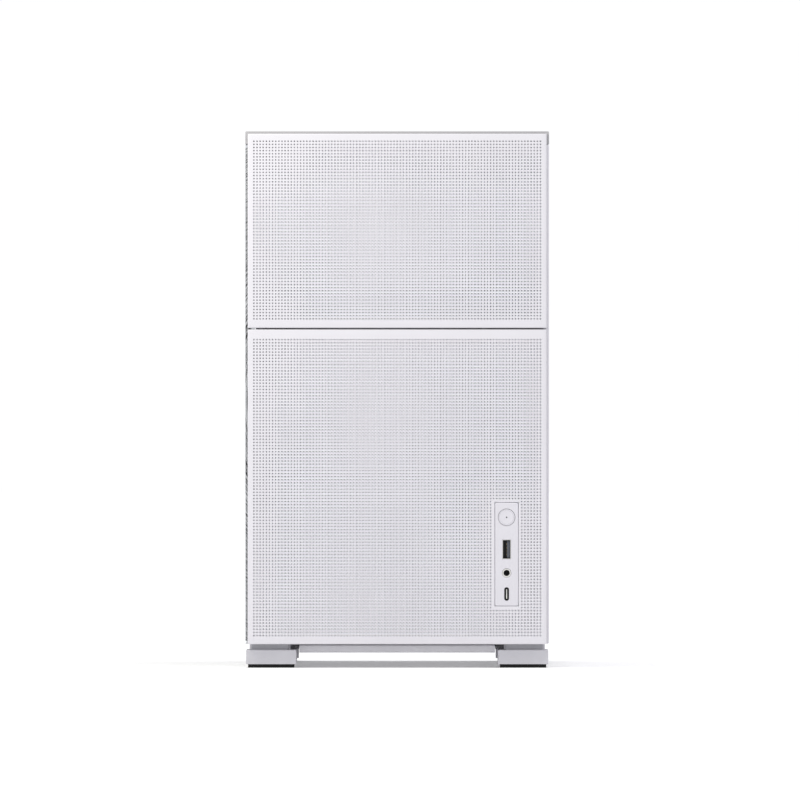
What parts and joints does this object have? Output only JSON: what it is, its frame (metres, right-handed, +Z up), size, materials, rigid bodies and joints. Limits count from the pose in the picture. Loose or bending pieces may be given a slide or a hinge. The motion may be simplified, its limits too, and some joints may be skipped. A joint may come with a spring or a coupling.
{
  "type": "desktop computer tower",
  "caption": "Compact upright computer case with perforated front panels, a glass side, a column of front connectors and its electronics inside",
  "frame": {"origin": "on the table, under the middle of the bounding box", "axes": "+Z up, +Y from the front panel to the back, +X to the right of someone facing the front"},
  "size_m": [0.205, 0.44, 0.362],
  "materials": {
    "powder_coat": "fine white powder coat, satin",
    "chassis_coat": "white powder coat, satin",
    "white_plastic": "moulded white plastic, fine spark texture",
    "foot_paint": "light grey paint, satin",
    "grey_plastic": "dark grey moulded plastic",
    "black_plastic": "black moulded plastic",
    "fan_plastic": "black moulded plastic, satin",
    "filter_net": "fine woven dust net, near white",
    "rubber": "black rubber, matte",
    "tinted_glass": "tempered glass, clear with a light grey tint",
    "black_coat": "black powder coat",
    "zinc_steel": "zinc-plated steel",
    "nickel": "bright nickel plate",
    "bare_aluminium": "bare aluminium",
    "dark_aluminium": "dark anodised aluminium",
    "circuit_board": "green-black solder mask",
    "brass": "plain brass",
    "cable_jacket": "soft black cable jacket"
  },
  "bodies": {
    "chassis": {"audio_jack": "nickel", "card_back_plate": "dark_aluminium", "card_circuit_board": "circuit_board", "card_heat_sink": "bare_aluminium", "card_shroud": "black_plastic", "chassis_screws": "zinc_steel", "cooler_base": "nickel", "cooler_fan_frame": "fan_plastic", "cooler_fins": "bare_aluminium", "drive_bracket": "zinc_steel", "feet": "foot_paint", "floor_pan": "chassis_coat", "foot_pads": "rubber", "foot_spacers": "grey_plastic", "front_frame": "chassis_coat", "front_port_board": "circuit_board", "internal_leads": "cable_jacket", "mainboard": "circuit_board", "mainboard_heat_sinks": "dark_aluminium", "mainboard_sockets": "black_plastic", "mainboard_standoffs": "brass", "mainboard_tray": "chassis_coat", "mains_inlet": "black_plastic", "memory_modules": "dark_aluminium", "port_bezel": "white_plastic", "port_shield": "zinc_steel", "power_supply_bracket": "chassis_coat", "power_supply_case": "black_coat", "power_supply_guard": "zinc_steel", "rear_connectors": "zinc_steel", "rear_fan_frame": "fan_plastic", "rear_wall": "chassis_coat", "slot_brackets": "chassis_coat", "solid_state_drive": "dark_aluminium", "stud_sockets": "grey_plastic", "thumb_screws": "nickel", "top_fan_frames": "fan_plastic", "top_frame": "chassis_coat", "tray_rails": "grey_plastic", "usb_a_port": "nickel", "usb_c_port": "nickel"},
    "power_button": {"power_button": "white_plastic"},
    "front_upper": {"front_panel_upper": "powder_coat", "front_filter_upper": "filter_net"},
    "front_lower": {"front_panel_lower": "powder_coat", "front_filter_lower": "filter_net"},
    "glass_side": {"glass_panel": "tinted_glass", "glass_panel_strips": "black_coat"},
    "right_side": {"right_panel": "powder_coat"},
    "top_lid": {"top_cover": "powder_coat", "top_filter": "filter_net"},
    "tray": {"filter_tray": "white_plastic", "filter_tray_net": "filter_net"},
    "rear_rotor": {"rear_fan_rotor": "fan_plastic"},
    "cooler_rotor": {"cooler_fan_rotor": "fan_plastic"},
    "supply_rotor": {"power_supply_fan": "fan_plastic"},
    "top_rotor_1": {"top_fan_1_rotor": "fan_plastic"},
    "top_rotor_2": {"top_fan_2_rotor": "fan_plastic"},
    "card_rotor_1": {"card_fan_1": "fan_plastic"},
    "card_rotor_2": {"card_fan_2": "fan_plastic"}
  },
  "joints": [
    {"name": "power_button_press", "type": "slide", "parent": "chassis", "child": "power_button", "axis": [0, 1, 0], "range_m": [0, 0.0012], "stiffness_N_per_m": 900, "springref_m": -0.0006},
    {"name": "front_upper_pull", "type": "slide", "parent": "chassis", "child": "front_upper", "axis": [0, -1, 0], "range_m": [0, 0.06]},
    {"name": "front_lower_pull", "type": "slide", "parent": "chassis", "child": "front_lower", "axis": [0, -1, 0], "range_m": [0, 0.06]},
    {"name": "glass_side_pull", "type": "slide", "parent": "chassis", "child": "glass_side", "axis": [-1, 0, 0], "range_m": [0, 0.08]},
    {"name": "right_side_pull", "type": "slide", "parent": "chassis", "child": "right_side", "axis": [1, 0, 0], "range_m": [0, 0.08]},
    {"name": "top_lid_lift", "type": "slide", "parent": "chassis", "child": "top_lid", "axis": [0, 0, 1], "range_m": [0, 0.06]},
    {"name": "filter_tray_pull", "type": "slide", "parent": "chassis", "child": "tray", "axis": [0, -1, 0], "range_m": [0, 0.38]},
    {"name": "rear_fan_spin", "type": "hinge", "parent": "chassis", "child": "rear_rotor", "pos_m": [-0.032, 0.1985, 0.262], "axis": [0, 1, 0], "continuous": true},
    {"name": "cooler_fan_spin", "type": "hinge", "parent": "chassis", "child": "cooler_rotor", "pos_m": [-0.022, 0.0915, 0.233], "axis": [0, 1, 0], "continuous": true},
    {"name": "power_supply_fan_spin", "type": "hinge", "parent": "chassis", "child": "supply_rotor", "pos_m": [0, -0.1883, 0.276], "axis": [0, 1, 0], "continuous": true},
    {"name": "top_fan_1_spin", "type": "hinge", "parent": "chassis", "child": "top_rotor_1", "pos_m": [0, 0.142, 0.3385], "axis": [0, 0, 1], "continuous": true},
    {"name": "top_fan_2_spin", "type": "hinge", "parent": "chassis", "child": "top_rotor_2", "pos_m": [0, 0.018, 0.3385], "axis": [0, 0, 1], "continuous": true},
    {"name": "card_fan_1_spin", "type": "hinge", "parent": "chassis", "child": "card_rotor_1", "pos_m": [0.0078, 0.128, 0.0984], "axis": [0, 0, 1], "continuous": true},
    {"name": "card_fan_2_spin", "type": "hinge", "parent": "chassis", "child": "card_rotor_2", "pos_m": [0.0078, 0.022, 0.0984], "axis": [0, 0, 1], "continuous": true}
  ]
}
